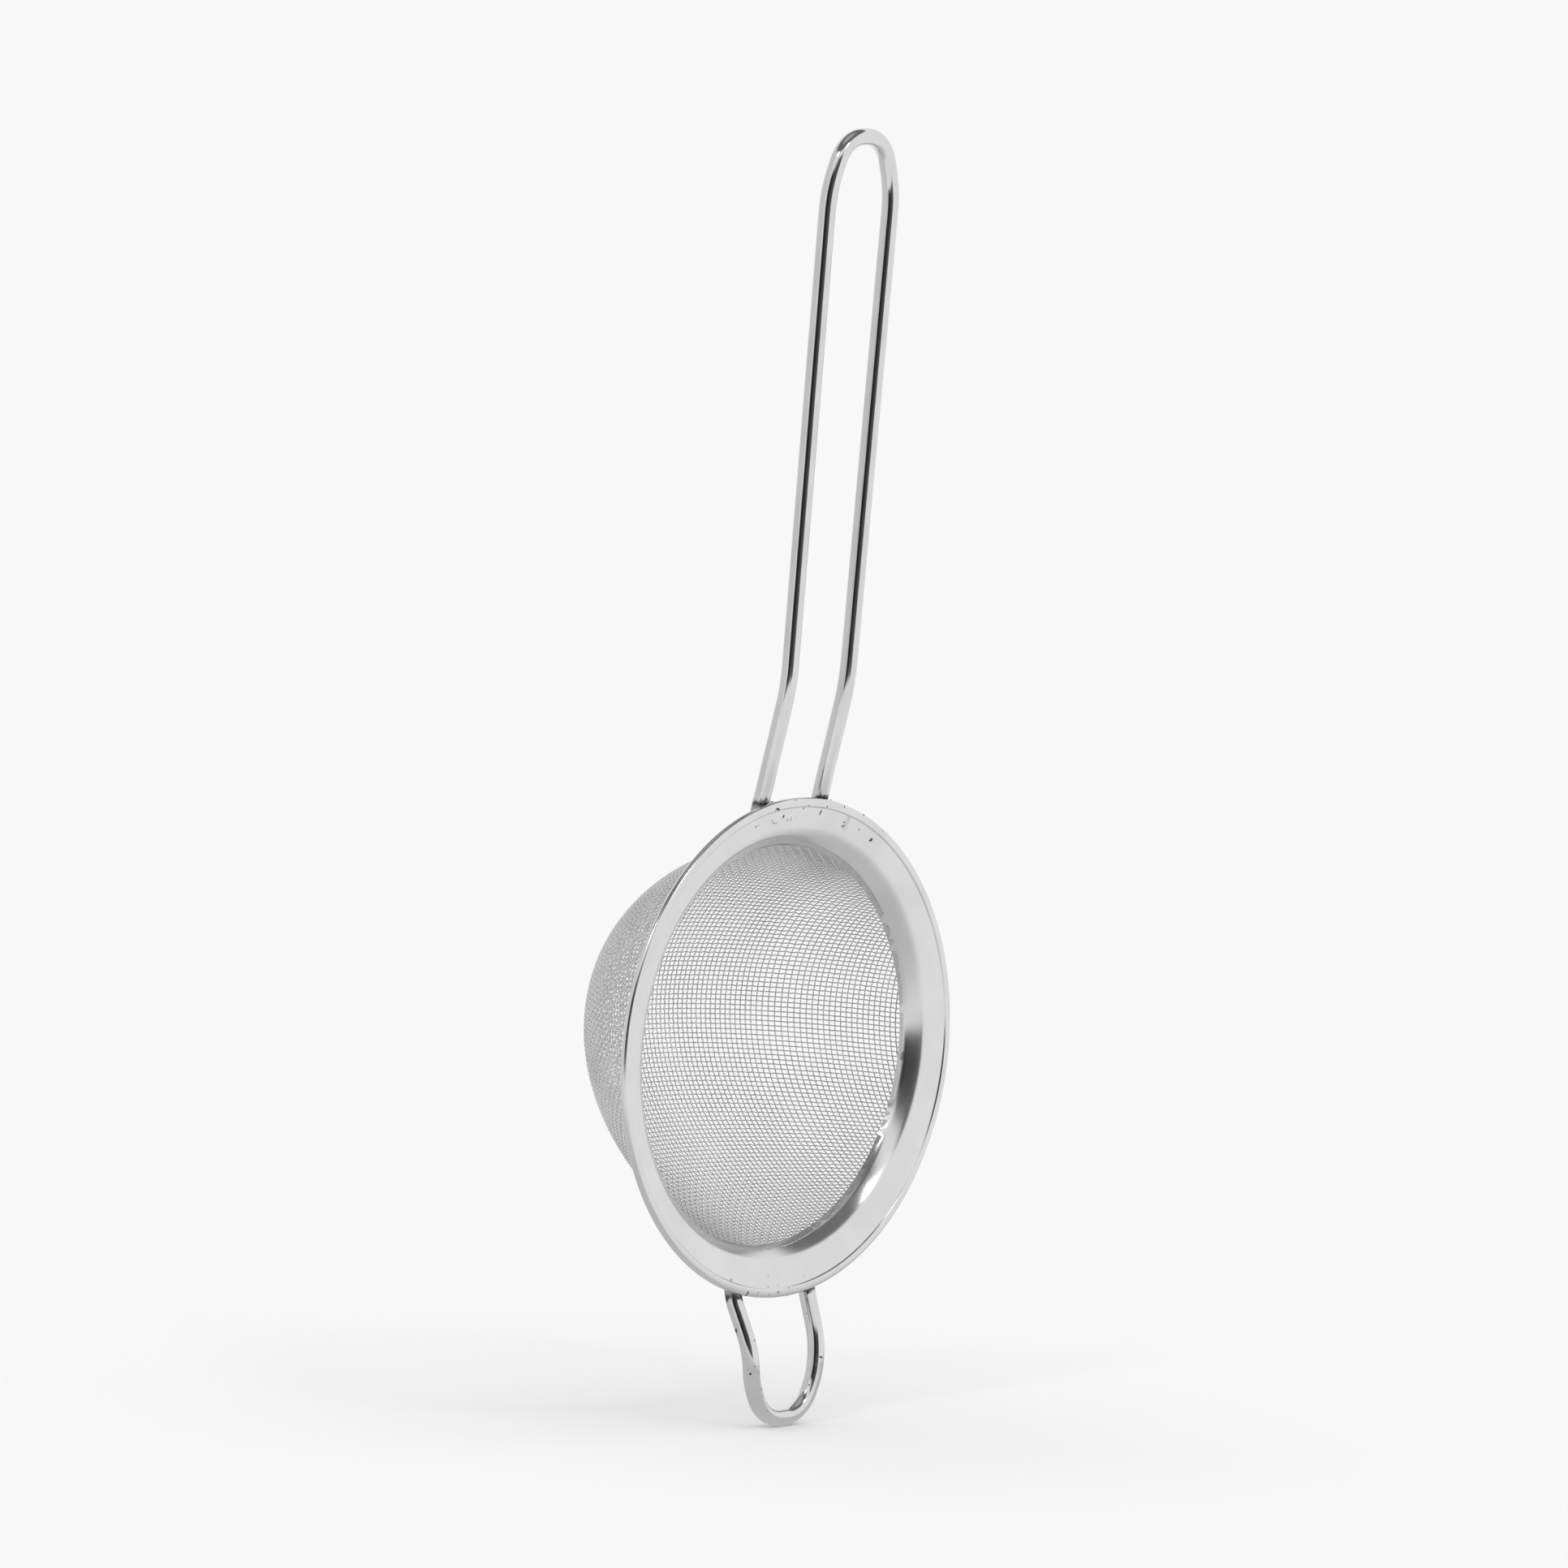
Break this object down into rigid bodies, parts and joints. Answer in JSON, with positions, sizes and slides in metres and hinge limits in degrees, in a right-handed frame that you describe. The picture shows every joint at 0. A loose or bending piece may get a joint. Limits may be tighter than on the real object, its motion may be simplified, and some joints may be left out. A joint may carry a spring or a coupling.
{
  "type": "tea strainer",
  "caption": "Hand-held tea strainer: a woven wire bowl hemmed into a dished steel rim, with a long looped wire handle and a small wire loop that rests on the cup.",
  "frame": {"origin": "centre of the circle on which the rim stands when the strainer is laid mouth down", "axes": "+Z along the handle, +Y from the mouth into the bowl, +X across the strainer; held upright by its handle, as it hangs"},
  "size_m": [0.085, 0.0459, 0.22],
  "materials": {
    "ring_steel": "bright rolled stainless sheet, pressed and polished",
    "mesh_steel": "plain-woven fine stainless wire",
    "rod_steel": "bright drawn stainless wire"
  },
  "bodies": {
    "root": {"front_ring": "ring_steel", "back_ring": "ring_steel", "warp_wires": "mesh_steel", "weft_wires": "mesh_steel", "handle": "rod_steel", "rest_loop": "rod_steel"}
  },
  "joints": []
}
